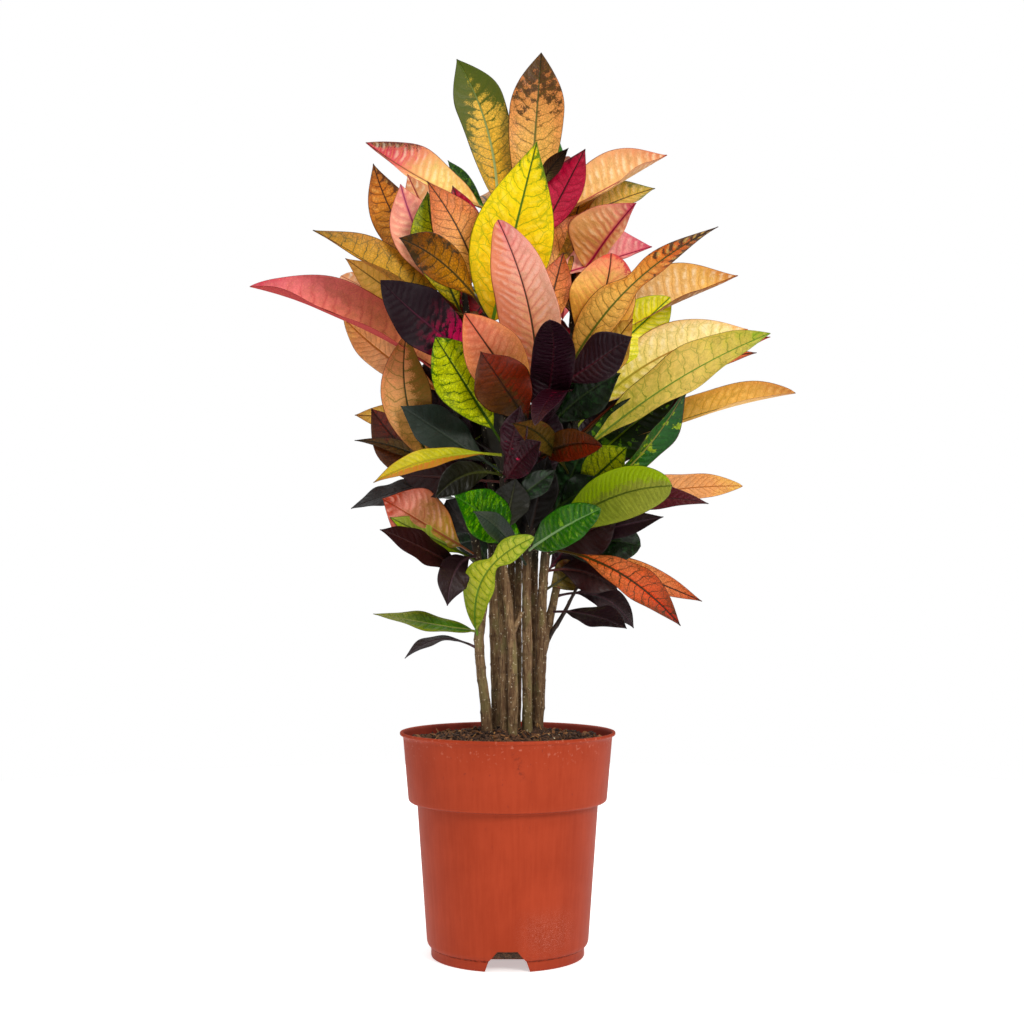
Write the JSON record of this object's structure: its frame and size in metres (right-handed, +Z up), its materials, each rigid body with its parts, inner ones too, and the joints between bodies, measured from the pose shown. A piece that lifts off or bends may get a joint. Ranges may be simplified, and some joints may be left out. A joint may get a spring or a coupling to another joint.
{
  "type": "potted croton plant",
  "caption": "Bushy croton with leathery leaves in yellow, orange, pink, green and maroon on upright canes, in a tapered terracotta-coloured plastic nursery pot.",
  "frame": {"origin": "middle of the whole plant's bounding box, at the level of the pot's foot; the pot's axis is 13 mm to -X and 18 mm to -Y of it", "axes": "+Z up along the pot's axis, -Y towards the fuller front of the plant, +X to the viewer's right"},
  "size_m": [0.5422, 0.3152, 0.9002],
  "materials": {
    "pot_plastic": "matt moulded terracotta-red polypropylene",
    "potting_mix": "loose peat and bark, rough",
    "bark": "grey-brown bark with leaf scars",
    "leaf_ochre": "leathery leaf, waxy sheen",
    "leaf_orange": "leathery leaf, waxy sheen",
    "leaf_yellow": "leathery leaf, waxy sheen",
    "leaf_crimson": "leathery leaf, waxy sheen",
    "leaf_peach": "leathery leaf, waxy sheen",
    "leaf_pink": "leathery leaf, waxy sheen",
    "leaf_lime": "leathery leaf, waxy sheen",
    "leaf_bronze": "leathery leaf, waxy sheen",
    "leaf_salmon": "leathery leaf, waxy sheen",
    "leaf_tan": "leathery leaf, waxy sheen",
    "leaf_black": "leathery leaf, waxy sheen",
    "leaf_cream": "leathery leaf, waxy sheen",
    "leaf_gold": "leathery leaf, waxy sheen",
    "leaf_green": "leathery leaf, waxy sheen",
    "leaf_olive": "leathery leaf, waxy sheen",
    "leaf_maroon": "leathery leaf, waxy sheen",
    "leaf_slate": "leathery leaf, waxy sheen",
    "leaf_red": "leathery leaf, waxy sheen"
  },
  "bodies": {
    "root": {"pot": "pot_plastic", "soil": "potting_mix", "cane_left": "bark", "cane_rear": "bark", "cane_front": "bark", "cane_centre": "bark", "cane_middle": "bark", "cane_right": "bark", "leaf_01": "leaf_ochre", "leaf_02": "leaf_orange", "leaf_03": "leaf_yellow", "leaf_04": "leaf_crimson", "leaf_05": "leaf_peach", "leaf_06": "leaf_orange", "leaf_07": "leaf_lime", "leaf_08": "leaf_orange", "leaf_09": "leaf_bronze", "leaf_10": "leaf_ochre", "leaf_11": "leaf_salmon", "leaf_12": "leaf_tan", "leaf_13": "leaf_black", "leaf_14": "leaf_pink", "leaf_15": "leaf_lime", "leaf_16": "leaf_peach", "leaf_17": "leaf_peach", "leaf_18": "leaf_pink", "leaf_19": "leaf_peach", "leaf_20": "leaf_orange", "leaf_21": "leaf_black", "leaf_22": "leaf_peach", "leaf_23": "leaf_lime", "leaf_24": "leaf_cream", "leaf_25": "leaf_yellow", "leaf_26": "leaf_gold", "leaf_27": "leaf_olive", "leaf_28": "leaf_crimson", "leaf_29": "leaf_peach", "leaf_30": "leaf_green", "leaf_31": "leaf_slate", "leaf_32": "leaf_yellow", "leaf_33": "leaf_black", "leaf_34": "leaf_maroon", "leaf_35": "leaf_lime", "leaf_36": "leaf_olive", "leaf_37": "leaf_maroon", "leaf_38": "leaf_maroon", "leaf_39": "leaf_red", "leaf_40": "leaf_green", "leaf_41": "leaf_green", "leaf_42": "leaf_orange", "leaf_43": "leaf_peach", "leaf_44": "leaf_yellow", "leaf_45": "leaf_lime", "leaf_46": "leaf_salmon", "leaf_47": "leaf_bronze", "leaf_48": "leaf_black", "leaf_49": "leaf_crimson", "leaf_50": "leaf_maroon", "leaf_51": "leaf_green", "leaf_52": "leaf_slate"}
  },
  "joints": []
}
